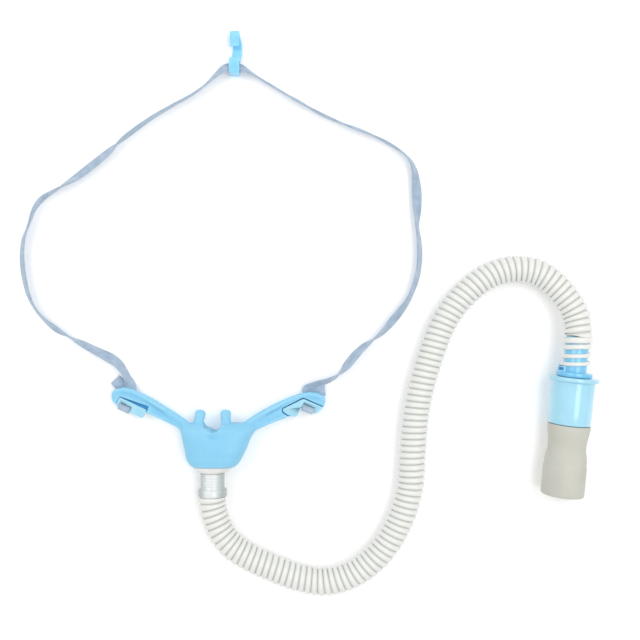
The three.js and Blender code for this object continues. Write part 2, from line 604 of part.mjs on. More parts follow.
const sleeveFace = -clearance;                              // towards the big flange
const sleeveStart = sleeveFace - smallFlangeThickness - sleeveLength + 1;
const sleeveProfile = [
  [sleeveBore, sleeveStart], [sleeveRadius, sleeveStart],
  ...[0, 1, 2, 3].flatMap((k) => {
    const s = sleeveStart + firstTurn + k * turnPitch;
    return [[sleeveRadius, s - turnWidth / 2], [turnRadius - 0.35, s - turnWidth / 4],
      [turnRadius, s], [turnRadius - 0.35, s + turnWidth / 4], [sleeveRadius, s + turnWidth / 2]];
  }),
  [sleeveRadius, sleeveFace - smallFlangeThickness],
  [smallFlangeRadius, sleeveFace - smallFlangeThickness], [smallFlangeRadius, sleeveFace],
  [swivelSpigotRadius, sleeveFace], [swivelSpigotRadius, sleeveFace + swivelSpigotLength],
  [sleeveBore, sleeveFace + swivelSpigotLength], [sleeveBore, sleeveStart],
];
const earTop = sleeveFace - smallFlangeThickness - earLength;
const earShape = new THREE.Shape();
earShape.moveTo(sleeveRadius - 1, sleeveFace - 0.5);
earShape.lineTo(smallFlangeRadius, sleeveFace - 0.5);
earShape.lineTo(smallFlangeRadius, sleeveFace - smallFlangeThickness - 1);
earShape.lineTo(turnRadius + 0.3, earTop);
earShape.lineTo(sleeveRadius - 1, earTop);
earShape.closePath();
const ear = new THREE.ExtrudeGeometry(earShape, { depth: earWidth, bevelEnabled: false });
ear.translate(0, 0, -earWidth / 2);
const earSlotMiddle = sleeveFace - smallFlangeThickness - 1.6;
const slotReach = 10;
const sleeve = toSolid(lathe(sleeveProfile))
  .add(toSolid(ear))
  .subtract(boxAt(slotReach, earSlot, earWidth - 2, new THREE.Matrix4().makeTranslation(
    sleeveRadius + 0.3 + slotReach / 2, earSlotMiddle, 0)));
addMesh('hose_sleeve', toGeometry(sleeve), colours.sleeve, 0.35, connector);

// Barrel with the big flange, a bore that turns on the sleeve's spigot, and a spigot for the cuff
const barrelEnd = bigFlangeThickness + barrelLength;
const swivelBore = swivelSpigotRadius + turningClearance;
const swivelDepth = swivelSpigotLength + 0.6;
const barrelInside = cuffSpigotRadius - barrelWall;
const barrelProfile = [
  [swivelBore, 0], [bigFlangeRadius - 0.3, 0], [bigFlangeRadius, 0.4],
  [bigFlangeRadius, bigFlangeThickness - 0.3], [bigFlangeRadius - 0.4, bigFlangeThickness],
  [barrelRadius, bigFlangeThickness + 0.3], [barrelEndRadius, barrelEnd], [cuffSpigotRadius, barrelEnd],
  [cuffSpigotRadius, barrelEnd + cuffSpigotLength], [barrelInside, barrelEnd + cuffSpigotLength],
  [barrelInside, swivelDepth + 2], [swivelBore, swivelDepth], [swivelBore, 0],
];
addMesh('connector_barrel', toGeometry(toSolid(lathe(barrelProfile))), colours.barrel, 0.15, connector);

// Rubber cuff pushed over the barrel's spigot
const cuffStart = barrelEnd + clearance;
const cuffEnd = cuffStart + cuffLength;
const cuffProfile = [
  [cuffBore, cuffStart], [cuffTopRadius - 0.4, cuffStart], [cuffTopRadius, cuffStart + 0.8],
  [cuffTopRadius - 0.2, cuffStart + 2.6], [cuffWaistRadius + 0.35, cuffStart + 8],
  [cuffWaistRadius, cuffStart + 11.5], [cuffWaistRadius + 0.3, cuffStart + 14.6],
  [cuffEndRadius - 0.7, cuffStart + 17.6], [cuffEndRadius - 0.35, cuffStart + 23],
  [cuffEndRadius - 0.15, cuffStart + 24], [cuffEndRadius, cuffEnd - 5],
  [cuffEndRadius, cuffEnd - 1.2], [cuffEndRadius - 0.5, cuffEnd], [cuffBore, cuffEnd],
  [cuffBore, cuffStart],
];
addMesh('grey_cuff', toGeometry(toSolid(lathe(cuffProfile))), colours.cuff, 0.8, connector);

// Hose: its route, from the clear adapter to the connector's sleeve
const hoseEnd = connectorPoint.clone().addScaledVector(axis, sleeveStart - clearance);
const lead = 1;                   // straight lead at both ends, so the end faces lie square
const hoseStart = point(adapterX, adapterEnd - clearance, adapterAxisZ);
const hoseFloorZ = hoseRadius + 0.15;
const hoseRoute = [
  hoseStart, hoseStart.clone().setY(hoseStart.y - lead), point(-4.1, -137, 8.3),
  point(-2.2, -144.6, hoseFloorZ), point(1.1, -152.7, hoseFloorZ), point(7, -160, hoseFloorZ),
  point(16.4, -166.2, hoseFloorZ), point(29.1, -172, hoseFloorZ), point(45, -178, hoseFloorZ),
  point(59.5, -180.3, hoseFloorZ), point(73.9, -176.9, hoseFloorZ), point(85.4, -169.6, hoseFloorZ),
  point(93.9, -160.7, hoseFloorZ), point(101.1, -148.9, hoseFloorZ), point(106, -136.5, hoseFloorZ),
  point(108.6, -125.7, hoseFloorZ), point(110, -105, hoseFloorZ), point(111.8, -85.2, hoseFloorZ),
  point(115.2, -68, hoseFloorZ), point(120.1, -52.1, hoseFloorZ), point(127, -34, hoseFloorZ),
  point(134.7, -21.9, hoseFloorZ), point(145.5, -11, hoseFloorZ), point(158.1, -3.8, hoseFloorZ),
  point(171.2, -1.9, 8.4), point(183, -5, 9.6), point(194, -15, 11.5), point(201.4, -28, 13.4),
  hoseEnd.clone().addScaledVector(axis, -lead), hoseEnd,
];
const hoseShape = new THREE.Shape();
for (let i = 0; i < hoseSides; i++) {
  const a = (2 * Math.PI * (i + 0.5)) / hoseSides;
  const [x, y] = [hoseRadius * Math.cos(a), hoseRadius * Math.sin(a)];
  if (i) hoseShape.lineTo(x, y);
  else hoseShape.moveTo(x, y);
}
hoseShape.closePath();
const hose = new THREE.ExtrudeGeometry(hoseShape, {
  steps: hoseSteps, bevelEnabled: false, extrudePath: new THREE.CatmullRomCurve3(hoseRoute),
});
addMesh('hose', hose, colours.hose, 0.6);

export default part;
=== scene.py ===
"""Nasal oxygen cannula: soft nasal piece, knitted head strap with a tube clip, corrugated hose and swivel
connector. Metres, +Z up, in the frame of the CAD part; profiles and stations are written in mm."""

import math

import bmesh
import bpy
import numpy as np
from mathutils import Matrix, Vector


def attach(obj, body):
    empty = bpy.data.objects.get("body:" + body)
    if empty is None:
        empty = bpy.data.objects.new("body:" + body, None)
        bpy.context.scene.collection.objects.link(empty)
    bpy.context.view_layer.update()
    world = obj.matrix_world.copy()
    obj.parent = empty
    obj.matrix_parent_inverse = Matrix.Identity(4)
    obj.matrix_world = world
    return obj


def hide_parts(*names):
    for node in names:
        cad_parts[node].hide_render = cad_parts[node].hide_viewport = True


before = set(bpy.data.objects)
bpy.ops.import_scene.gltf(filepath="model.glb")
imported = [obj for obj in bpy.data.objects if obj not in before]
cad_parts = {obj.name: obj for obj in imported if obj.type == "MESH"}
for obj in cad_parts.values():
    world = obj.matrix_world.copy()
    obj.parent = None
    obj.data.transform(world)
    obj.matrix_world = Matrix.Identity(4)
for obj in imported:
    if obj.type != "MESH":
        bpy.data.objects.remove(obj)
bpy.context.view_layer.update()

MM = 0.001

# Camera, straight above the middle of the picture
CAMERA_HEIGHT = 0.51
PICTURE_WIDTH = 0.3712            # width of the floor that the picture shows
SENSOR = 36.0

camera_data = bpy.data.cameras.new("camera")
camera_data.sensor_width = SENSOR
camera_data.lens = SENSOR * CAMERA_HEIGHT / PICTURE_WIDTH
camera = bpy.data.objects.new("camera", camera_data)
bpy.context.scene.collection.objects.link(camera)
camera.location = (0.0573, -0.033, CAMERA_HEIGHT)
bpy.context.scene.camera = camera


# Helpers for the making
def select_only(*objs):
    bpy.ops.object.select_all(action="DESELECT")
    for obj in objs:
        obj.select_set(True)
    bpy.context.view_layer.objects.active = objs[-1]


def new_piece(name, vertices, faces):
    mesh = bpy.data.meshes.new(name)
    mesh.from_pydata([tuple(v) for v in vertices], [], faces)
    mesh.update()
    obj = bpy.data.objects.new(name, mesh)
    bpy.context.scene.collection.objects.link(obj)
    return obj


def merge_and_point_out(obj, distance=2e-6):
    select_only(obj)
    bpy.ops.object.mode_set(mode="EDIT")
    bpy.ops.mesh.select_all(action="SELECT")
    bpy.ops.mesh.remove_doubles(threshold=distance)
    bpy.ops.mesh.dissolve_degenerate(threshold=distance)
    bpy.ops.mesh.normals_make_consistent(inside=False)
    bpy.ops.object.mode_set(mode="OBJECT")


def modify(obj, kind, **settings):
    """Adds one modifier and applies it."""
    select_only(obj)
    mod = obj.modifiers.new(kind.lower(), kind)
    for key, value in settings.items():
        setattr(mod, key, value)
    bpy.ops.object.modifier_apply(modifier=mod.name)


def smooth(obj, degrees=40):
    select_only(obj)
    bpy.ops.object.shade_smooth_by_angle(angle=math.radians(degrees))


def cad_copy(node, name):
    """A copy of a CAD node's mesh, with its loose triangles joined."""
    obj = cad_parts[node].copy()
    obj.data = obj.data.copy()
    obj.name = name
    obj.data.name = name
    obj.parent = None
    for key in list(obj.keys()):
        del obj[key]
    bpy.context.scene.collection.objects.link(obj)
    obj.data.materials.clear()
    merge_and_point_out(obj)
    return obj


def turned(name, profile, steps=96):
    """A profile of (radius, distance along the axis) in mm, spun about local Y."""
    bpy.ops.object.select_all(action="DESELECT")
    bpy.ops.mesh.primitive_plane_add(size=MM)
    obj = bpy.context.object
    obj.name = obj.data.name = name
    bpy.ops.object.mode_set(mode="EDIT")
    bm = bmesh.from_edit_mesh(obj.data)
    bmesh.ops.delete(bm, geom=bm.verts[:], context="VERTS")
    row = [bm.verts.new((r * MM, s * MM, 0)) for r, s in profile]
    for a, b in zip(row, row[1:] + row[:1]):
        bm.edges.new((a, b))
    bmesh.update_edit_mesh(obj.data)
    bpy.ops.mesh.select_all(action="SELECT")
    bpy.ops.mesh.spin(steps=steps, angle=2 * math.pi, center=(0, 0, 0), axis=(0, 1, 0))
    bpy.ops.object.mode_set(mode="OBJECT")
    merge_and_point_out(obj)
    smooth(obj, 50)
    return obj


def lofted(name, rings):
    """A skin over rings of equal point count, in metres."""
    count = len(rings[0])
    vertices = [p for ring in rings for p in ring]
    faces = []
    for r in range(len(rings) - 1):
        for i in range(count):
            a, b = r * count + i, r * count + (i + 1) % count
            faces.append((a, b, b + count, a + count))
    faces.append(tuple(range(count)))
    faces.append(tuple(range(len(vertices) - count, len(vertices))))
    obj = new_piece(name, vertices, faces)
    merge_and_point_out(obj, 1e-7)
    return obj


def dress(obj, body, material, slot, *nodes):
    """Gives a piece its body, finish and the CAD nodes that it stands for."""
    obj.data.materials.clear()
    obj.data.materials.append(material)
    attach(obj, body)
    if nodes:
        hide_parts(*nodes)
    return obj


# Curves through listed points
def spline_points(points, count):
    """Centripetal Catmull-Rom curve, evenly spaced along its length."""
    p = np.array(points, float)
    p = np.vstack([2 * p[0] - p[1], p, 2 * p[-1] - p[-2]])
    fine = []
    for i in range(1, len(p) - 2):
        p0, p1, p2, p3 = p[i - 1:i + 3]
        t1 = max(np.linalg.norm((p1 - p0)[:3]), 1e-9) ** 0.5
        t2 = t1 + max(np.linalg.norm((p2 - p1)[:3]), 1e-9) ** 0.5
        t3 = t2 + max(np.linalg.norm((p3 - p2)[:3]), 1e-9) ** 0.5
        for t in np.linspace(t1, t2, 24, endpoint=False):
            a1 = (t1 - t) / t1 * p0 + t / t1 * p1
            a2 = (t2 - t) / (t2 - t1) * p1 + (t - t1) / (t2 - t1) * p2
            a3 = (t3 - t) / (t3 - t2) * p2 + (t - t2) / (t3 - t2) * p3
            b1 = (t2 - t) / t2 * a1 + t / t2 * a2
            b2 = (t3 - t) / (t3 - t1) * a2 + (t - t1) / (t3 - t1) * a3
            fine.append((t2 - t) / (t2 - t1) * b1 + (t - t1) / (t2 - t1) * b2)
    fine.append(p[-2])
    fine = np.array(fine)
    run = np.concatenate([[0], np.cumsum(np.linalg.norm(np.diff(fine[:, :3], axis=0), axis=1))])
    at = np.linspace(0, run[-1], count)
    return np.stack([np.interp(at, run, fine[:, k]) for k in range(fine.shape[1])], axis=1), run[-1]


# Materials
def linear(hex_colour):
    """An sRGB hex colour as linear red, green, blue and alpha."""
    parts = [int(hex_colour[i:i + 2], 16) / 255 for i in (1, 3, 5)]
    return tuple(c / 12.92 if c <= 0.04045 else ((c + 0.055) / 1.055) ** 2.4 for c in parts) + (1.0,)


def add_node(material, kind, inputs=None, **settings):
    """Adds a node, sets its properties, and fills or links its inputs."""
    tree = material.node_tree
    node = tree.nodes.new(kind)
    for key, value in settings.items():
        setattr(node, key, value)
    for key, value in (inputs or {}).items():
        if isinstance(value, bpy.types.NodeSocket):
            tree.links.new(value, node.inputs[key])
        else:
            node.inputs[key].default_value = value
    return node


def new_material(name, hex_colour, roughness, **sockets):
    material = bpy.data.materials.new(name)
    material.use_nodes = True
    material.diffuse_color = linear(hex_colour)
    shader = material.node_tree.nodes["Principled BSDF"]
    shader.inputs["Base Color"].default_value = linear(hex_colour)
    shader.inputs["Roughness"].default_value = roughness
    for key, value in sockets.items():
        shader.inputs[key.replace("_", " ")].default_value = value
    return material, shader


def object_noise(material, scale, detail=3.0):
    place = add_node(material, "ShaderNodeTexCoord")
    return add_node(material, "ShaderNodeTexNoise",
                    {"Vector": place.outputs["Object"], "Scale": scale, "Detail": detail})


def colour_drift(material, shader, pattern, high_tone, low_tone, low=0.35, high=0.65):
    """Runs the base colour from one tone, where the pattern is low, to another, where it is high."""
    ramp = add_node(material, "ShaderNodeValToRGB", {"Fac": pattern.outputs[0]})
    ramp.color_ramp.elements[0].position = low
    ramp.color_ramp.elements[0].color = linear(low_tone)
    ramp.color_ramp.elements[1].position = high
    ramp.color_ramp.elements[1].color = linear(high_tone)
    material.node_tree.links.new(ramp.outputs["Color"], shader.inputs["Base Color"])
    return ramp


def fine_bump(material, shader, height, strength, depth_mm):
    bump = add_node(material, "ShaderNodeBump",
                    {"Height": height, "Strength": strength, "Distance": depth_mm * MM})
    material.node_tree.links.new(bump.outputs["Normal"], shader.inputs["Normal"])
    return bump


BLUE_GLOW = (0.5, 0.9, 1.0)       # how far red, green and blue light travels in the pale blue plastics


def make_milky(shader, weight, reach, depth_mm):
    """Lets light travel a little way inside the material."""
    shader.inputs["Subsurface Weight"].default_value = weight
    shader.inputs["Subsurface Radius"].default_value = reach
    shader.inputs["Subsurface Scale"].default_value = depth_mm * MM


def moulded_silicone():
    """Liquid silicone rubber, injection moulded in a fine-blasted tool: a satin, slightly milky blue skin
    whose thin parts glow a little, with a faint grain that breaks up the highlights. Its grooves and pocket
    floors are painted a deeper blue as shade, and its ridges are painted lighter as highlight."""
    material, shader = new_material("silicone_moulded_satin", "#88C9E8", 0.42, IOR=1.41)
    make_milky(shader, 0.35, BLUE_GLOW, 1.6)
    # the attribute is 0.5 on flat skin, less in grooves, where the blue is painted deeper as shade, and more
    # on ridges, which are painted lighter as highlight
    painted_shade_and_highlight = add_node(material, "ShaderNodeAttribute", attribute_name="painted_shade_and_highlight")
    noise = object_noise(material, 90, 2)
    tone = add_node(material, "ShaderNodeMath", {0: noise.outputs["Fac"], 1: 0.1, 2: -0.05},
                    operation="MULTIPLY_ADD")
    tone = add_node(material, "ShaderNodeMath", {0: tone.outputs[0], 1: painted_shade_and_highlight.outputs["Fac"]},
                    operation="ADD")
    ramp = colour_drift(material, shader, tone, "#A8DCF0", "#3E97CC", 0.05, 0.95)
    flat_skin = ramp.color_ramp.elements.new(0.5)
    flat_skin.color = linear("#88C9E8")
    fine_bump(material, shader, object_noise(material, 3500, 2).outputs["Fac"], 0.12, 0.02)
    return material


def tab_polypropylene():
    """Pale blue polypropylene, moulded in a polished tool: clean soft gloss, slightly see-through at the
    edges."""
    material, shader = new_material("polypropylene_moulded_pale_blue", "#A2D6EA", 0.28, IOR=1.49)
    make_milky(shader, 0.2, BLUE_GLOW, 1.0)
    colour_drift(material, shader, object_noise(material, 160, 2), "#A6D9EC", "#9ED2E7")
    fine_bump(material, shader, object_noise(material, 2600, 1).outputs["Fac"], 0.05, 0.02)
    return material


KNIT_LOOP = 0.9                   # drawn distance between loops, mm


def knitted_elastic():
    """Polyester and elastane warp knit, grey-blue: fine ribs along the band, cross rows of loops, dull and
    fuzzy. The real loops are about 0.4 mm apart; they are drawn 0.9 mm apart so that they show."""
    material, shader = new_material("elastic_warp_knit_grey_blue", "#9DB2C6", 0.92, IOR=1.5)
    shader.inputs["Sheen Weight"].default_value = 0.35
    shader.inputs["Sheen Roughness"].default_value = 0.5
    uv = add_node(material, "ShaderNodeTexCoord").outputs["UV"]
    # U runs along the band and V across it, both in millimetres
    split = add_node(material, "ShaderNodeSeparateXYZ", {"Vector": uv})
    waves = []
    for direction in ("Y", "X"):
        wave = add_node(material, "ShaderNodeMath",
                        {0: split.outputs[direction], 1: 2 * math.pi / KNIT_LOOP}, operation="MULTIPLY")
        waves.append(add_node(material, "ShaderNodeMath", {0: wave.outputs[0]}, operation="SINE"))
    loops = add_node(material, "ShaderNodeMath", {0: waves[0].outputs[0], 1: waves[1].outputs[0]},
                     operation="MULTIPLY")
    weave = add_node(material, "ShaderNodeMath", {0: loops.outputs[0], 1: 0.5, 2: 0.5},
                     operation="MULTIPLY_ADD")
    noise = object_noise(material, 220, 4)
    blend = add_node(material, "ShaderNodeMath", {0: weave.outputs[0], 1: 0.3}, operation="MULTIPLY")
    height = add_node(material, "ShaderNodeMath",
                      {0: noise.outputs["Fac"], 1: 0.7, 2: blend.outputs[0]}, operation="MULTIPLY_ADD")
    # the colour follows a random tone, and is painted lighter on the tops of the loops and darker between
    # them, as shade
    ramp = add_node(material, "ShaderNodeValToRGB", {"Fac": height.outputs[0]})
    ramp.color_ramp.elements[0].position = 0.3
    ramp.color_ramp.elements[0].color = linear("#8CA2B8")
    ramp.color_ramp.elements[1].position = 0.72
    ramp.color_ramp.elements[1].color = linear("#B2C5D8")
    material.node_tree.links.new(ramp.outputs["Color"], shader.inputs["Base Color"])
    fine_bump(material, shader, weave.outputs[0], 0.35, 0.12)
    return material


def clip_polycarbonate():
    """Sky blue polycarbonate, moulded and glossy, with clean bright edges."""
    material, shader = new_material("polycarbonate_moulded_sky_blue", "#8FD6FA", 0.2, IOR=1.585)
    make_milky(shader, 0.2, BLUE_GLOW, 1.0)
    colour_drift(material, shader, object_noise(material, 200, 2), "#96DBFC", "#88D0F7")
    fine_bump(material, shader, object_noise(material, 1800, 1).outputs["Fac"], 0.04, 0.02)
    return material


def white_polyoxymethylene():
    """White acetal, moulded: dense, slightly warm white with a soft gloss."""
    material, shader = new_material("acetal_moulded_white", "#E2E1DF", 0.3, IOR=1.48)
    colour_drift(material, shader, object_noise(material, 150, 2), "#E6E5E3", "#DDDBD8")
    fine_bump(material, shader, object_noise(material, 2400, 1).outputs["Fac"], 0.05, 0.02)
    return material


AXIS_X, AXIS_Z = -4.0, 8.6        # the adapter's axis, mm
SIDE_SHADE_HALF_WIDTH = 0.0072         # from the axis to where the painted side shade is full, metres


def clear_copolyester():
    """Clear copolyester, moulded and lightly ribbed: pale in the middle, where the eye meets both walls
    square on, painted greyer towards the sides as the shade seen where the eye looks along them, and finely
    hazed."""
    material, shader = new_material("copolyester_moulded_clear", "#DDE3E3", 0.16, IOR=1.57)
    shader.inputs["Transmission Weight"].default_value = 0.16
    # the base colour is painted greyer with distance from the axis, as shade at the sides
    place = add_node(material, "ShaderNodeTexCoord")
    split = add_node(material, "ShaderNodeSeparateXYZ", {"Vector": place.outputs["Object"]})
    aside = add_node(material, "ShaderNodeMath", {0: split.outputs["X"], 1: -AXIS_X * MM}, operation="ADD")
    aside = add_node(material, "ShaderNodeMath", {0: aside.outputs[0]}, operation="ABSOLUTE")
    share = add_node(material, "ShaderNodeMath", {0: aside.outputs[0], 1: 1 / SIDE_SHADE_HALF_WIDTH},
                     operation="MULTIPLY")
    noise = object_noise(material, 500, 2)
    tone = add_node(material, "ShaderNodeMath", {0: noise.outputs["Fac"], 1: 0.3, 2: share.outputs[0]},
                    operation="MULTIPLY_ADD")
    colour_drift(material, shader, tone, "#B9C2C2", "#F0F4F4", 0.5, 1.1)
    fine_bump(material, shader, object_noise(material, 1500, 1).outputs["Fac"], 0.06, 0.02)
    return material


def hose_polyethylene():
    """White low-density polyethylene film, extruded, with a round bead wound on in a spiral: waxy half-gloss
    beads, and thinner film between them, painted greyer in the grooves as shade."""
    material, shader = new_material("polyethylene_extruded_spiral_white", "#E2E3DF", 0.36, IOR=1.51)
    make_milky(shader, 0.25, (1.0, 1.0, 1.0), 0.7)
    uv = add_node(material, "ShaderNodeTexCoord").outputs["UV"]
    split = add_node(material, "ShaderNodeSeparateXYZ", {"Vector": uv})
    # V is 0 in the groove and 1 on the crest of the bead, and the colour is painted greyer towards the
    # groove as shade
    noise = object_noise(material, 120, 3)
    drift = add_node(material, "ShaderNodeMath", {0: noise.outputs["Fac"], 1: 0.12, 2: -0.06},
                     operation="MULTIPLY_ADD")
    crest = add_node(material, "ShaderNodeMath", {0: split.outputs["Y"], 1: drift.outputs[0]},
                     operation="ADD")
    ramp = add_node(material, "ShaderNodeValToRGB", {"Fac": crest.outputs[0]})
    ramp.color_ramp.elements[0].position = 0.0
    ramp.color_ramp.elements[0].color = linear("#C6C8C2")
    ramp.color_ramp.elements[1].position = 0.8
    ramp.color_ramp.elements[1].color = linear("#E6E7E3")
    material.node_tree.links.new(ramp.outputs["Color"], shader.inputs["Base Color"])
    fine_bump(material, shader, object_noise(material, 1600, 2).outputs["Fac"], 0.08, 0.03)
    return material


def blue_abs(name, light, dark, roughness):
    """Blue ABS, moulded in a polished tool: even colour and mirror-like soft gloss."""
    material, shader = new_material(name, light, roughness, IOR=1.53)
    shader.inputs["Coat Weight"].default_value = 0.35
    shader.inputs["Coat Roughness"].default_value = 0.05
    colour_drift(material, shader, object_noise(material, 80, 2), light, dark)
    fine_bump(material, shader, object_noise(material, 900, 1).outputs["Fac"], 0.03, 0.02)
    return material


def grey_elastomer():
    """Warm grey thermoplastic rubber, moulded in a blasted tool: matte, with a fine grain and faint flow
    marks."""
    material, shader = new_material("thermoplastic_rubber_moulded_grey", "#C3C3B9", 0.68, IOR=1.5)
    colour_drift(material, shader, object_noise(material, 60, 4), "#C6C6BC", "#BDBDB3", 0.3, 0.7)
    fine_bump(material, shader, object_noise(material, 2600, 3).outputs["Fac"], 0.2, 0.04)
    return material


silicone = moulded_silicone()
tab_plastic = tab_polypropylene()
strap_knit = knitted_elastic()
clip_plastic = clip_polycarbonate()
white_plastic = white_polyoxymethylene()
clear_plastic = clear_copolyester()
hose_film = hose_polyethylene()
barrel_blue = blue_abs("abs_moulded_gloss_light_blue", "#A8DDF1", "#A3D8ED", 0.12)
sleeve_blue = blue_abs("abs_moulded_gloss_sky_blue", "#7FC9EC", "#78C3E8", 0.25)
grey_rubber = grey_elastomer()

# Hose: the route from the clear adapter to the swivel sleeve, in metres
HOSE_DIAMETER = 0.0156
HOSE_ROUTE = [
    (-0.0040, -0.1336, 0.00860), (-0.0040, -0.1346, 0.00860), (-0.0038, -0.1390, 0.00830),
    (-0.0019, -0.1466, 0.00795), (0.0014, -0.1547, 0.00795), (0.0073, -0.1620, 0.00795),
    (0.0167, -0.1682, 0.00795), (0.0294, -0.1740, 0.00795), (0.0453, -0.1800, 0.00795),
    (0.0598, -0.1823, 0.00795), (0.0742, -0.1789, 0.00795), (0.0857, -0.1716, 0.00795),
    (0.0942, -0.1627, 0.00795), (0.1014, -0.1509, 0.00795), (0.1063, -0.1385, 0.00795),
    (0.1089, -0.1277, 0.00795), (0.1103, -0.1070, 0.00795), (0.1121, -0.0872, 0.00795),
    (0.1155, -0.0700, 0.00795), (0.1204, -0.0541, 0.00795), (0.1273, -0.0360, 0.00795),
    (0.1350, -0.0239, 0.00795), (0.1458, -0.0130, 0.00795), (0.1584, -0.0058, 0.00795),
    (0.1715, -0.0039, 0.00840), (0.1833, -0.0070, 0.00960), (0.1943, -0.0170, 0.01150),
    (0.2017, -0.0300, 0.01340), (0.2028, -0.0409, 0.01490), (0.2027, -0.0419, 0.01486),
]
BEAD_PITCH = 0.00356
GROOVE_DEPTH = 0.0013
HOSE_SIDES = 40
# Where a bead is cut across, from one groove to the next
BEAD_STEPS = (0.0, 0.08, 0.2, 0.35, 0.5, 0.65, 0.8, 0.92)


def bead_crest(u):
    """Height of the round bead at a share u of the pitch, 0 in the groove and 1 on the crest."""
    return math.sin(math.pi * u) ** 0.75


def tube_frames(points):
    """Two directions square to the curve at each point, turning as little as they can."""
    tangents = np.gradient(points, axis=0)
    tangents /= np.linalg.norm(tangents, axis=1)[:, None]
    side = np.cross(tangents[0], (0.0, 0.0, 1.0))
    side /= np.linalg.norm(side)
    sides = []
    for tangent in tangents:
        side = side - tangent * side.dot(tangent)
        side /= np.linalg.norm(side)
        sides.append(side)
    sides = np.array(sides)
    return sides, np.cross(tangents, sides)


def spiral_hose():
    centres, length = spline_points(HOSE_ROUTE, 1600)
    sides, ups = tube_frames(centres)
    run = np.linspace(0, length, len(centres))

    def place(s, angle, radius):
        out = [np.interp(s, run, table[:, k]) for table in (centres, sides, ups) for k in range(3)]
        centre, side, up = (np.array(out[i:i + 3]) for i in (0, 3, 6))
        return centre + radius * (math.cos(angle) * side + math.sin(angle) * up)

    turns = int(length / BEAD_PITCH) + 2
    vertices, crest, faces = [], [], []
    steps = len(BEAD_STEPS)
    rows = turns * steps
    for i in range(rows + steps):
        turn, u = divmod(i, steps)
        for j in range(HOSE_SIDES):
            s = (turn - 1 + BEAD_STEPS[u] + j / HOSE_SIDES) * BEAD_PITCH
            high = bead_crest(BEAD_STEPS[u])
            radius = HOSE_DIAMETER / 2 - GROOVE_DEPTH * (1 - high)
            vertices.append(place(min(max(s, 0), length), 2 * math.pi * j / HOSE_SIDES, radius))
            crest.append(high)
    for i in range(rows + steps - 1):
        for j in range(HOSE_SIDES):
            a, d = i * HOSE_SIDES + j, (i + 1) * HOSE_SIDES + j
            if j + 1 < HOSE_SIDES:
                b, c = a + 1, d + 1
            elif i + 1 + steps < rows + steps:
                b, c = (i + steps) * HOSE_SIDES, (i + 1 + steps) * HOSE_SIDES
            else:
                continue
            faces.append((a, d, c, b))
    return vertices, crest, faces, centres, length


vertices, crest, faces, hose_line, hose_length = spiral_hose()
hose = new_piece("hose_spiral", vertices, faces)
layer = hose.data.uv_layers.new(name="bead")
for loop in hose.data.loops:
    layer.data[loop.index].uv = (0.5, crest[loop.vertex_index])
select_only(hose)
bpy.ops.object.mode_set(mode="EDIT")
bpy.ops.mesh.select_all(action="SELECT")
bpy.ops.mesh.remove_doubles(threshold=1e-5)
bpy.ops.mesh.dissolve_degenerate(threshold=1e-6)
bpy.ops.mesh.select_all(action="DESELECT")
bpy.ops.mesh.select_non_manifold()
bpy.ops.mesh.fill_holes(sides=0)
bpy.ops.mesh.select_all(action="SELECT")
bpy.ops.mesh.normals_make_consistent(inside=False)
bpy.ops.object.mode_set(mode="OBJECT")
smooth(hose, 60)

# Connector frame: local Y runs along its axis from the big flange's hose side to the cuff's mouth
HEADING, PITCH = math.radians(5.3), math.radians(1.75)
axis = Vector((-math.sin(HEADING) * math.cos(PITCH), -math.cos(HEADING) * math.cos(PITCH), -math.sin(PITCH)))
across = Vector((-axis.y, axis.x, 0)).normalized()
upwards = across.cross(axis).normalized()
connector_place = Matrix((-across, axis, -upwards)).transposed().to_4x4()
connector_place.translation = (0.2005, -0.0652, 0.01415)


def at_connector(obj):
    obj.data.transform(connector_place)
    obj.data.update()
    return obj


def block(size, middle):
    """A plain block for cutting and joining, its size and middle in mm."""
    bpy.ops.object.select_all(action="DESELECT")
    bpy.ops.mesh.primitive_cube_add(size=1)
    obj = bpy.context.object
    obj.data.transform(Matrix.Diagonal([edge * MM for edge in size] + [1]))
    obj.data.transform(Matrix.Translation([along * MM for along in middle]))
    return obj


def join_or_cut(obj, tool, operation):
    """Joins a helper to a piece, or cuts it away, and removes the helper."""
    modify(obj, "BOOLEAN", operation=operation, object=tool, solver="EXACT")
    bpy.data.objects.remove(tool)


# Sleeve that the hose's last turns grip, with the small flange and the slotted ear
sleeve = turned("hose_sleeve_blue", [
    (5, -23.1), (6.2, -23.1), (6.5, -22.7), (6.5, -3.0), (6.8, -2.7), (9.6, -2.7), (9.9, -2.5), (10, -2.1),
    (10, -0.7), (9.7, -0.3), (6.1, -0.3), (6.1, 6.7), (5, 6.7)])
ear = block((4.4, 5.4, 6), (7.7, -3.8, 0))
for vertex in ear.data.vertices:
    if vertex.co.y < -5 * MM and vertex.co.x > 8 * MM:
        vertex.co.x = 8.2 * MM        # slants the outer side in towards the hose
modify(ear, "BEVEL", width=0.4 * MM, segments=3, limit_method="ANGLE", angle_limit=math.radians(20))
join_or_cut(sleeve, ear, "UNION")
# its two slots: middle and height along the axis, and how far out they start
for middle, height, start in ((-4.3, 1.7, 6.9), (-5.95, 0.5, 6.8)):
    join_or_cut(sleeve, block((10, height, 8), (start + 5, middle, 1.6)), "DIFFERENCE")
smooth(sleeve, 40)
at_connector(sleeve)

# The hose's last turns, wound on the sleeve: two broad ones close together, then two narrower ones apart
TURN_MIDDLES = (-24.8, -21.2, -17.5, -12.3, -7.8, -3.6)     # where each turn crosses the top, in mm
TURN_WIDTHS = (3.7, 3.7, 2.9, 2.5, 2.4, 2.4)
TURN_STEPS = 48
FIRST_TURN, LAST_TURN = 0.62, 4.45                          # where the bead starts and ends, in turns
BEAD_FOOT = 6.45                                            # radius just inside the sleeve's skin
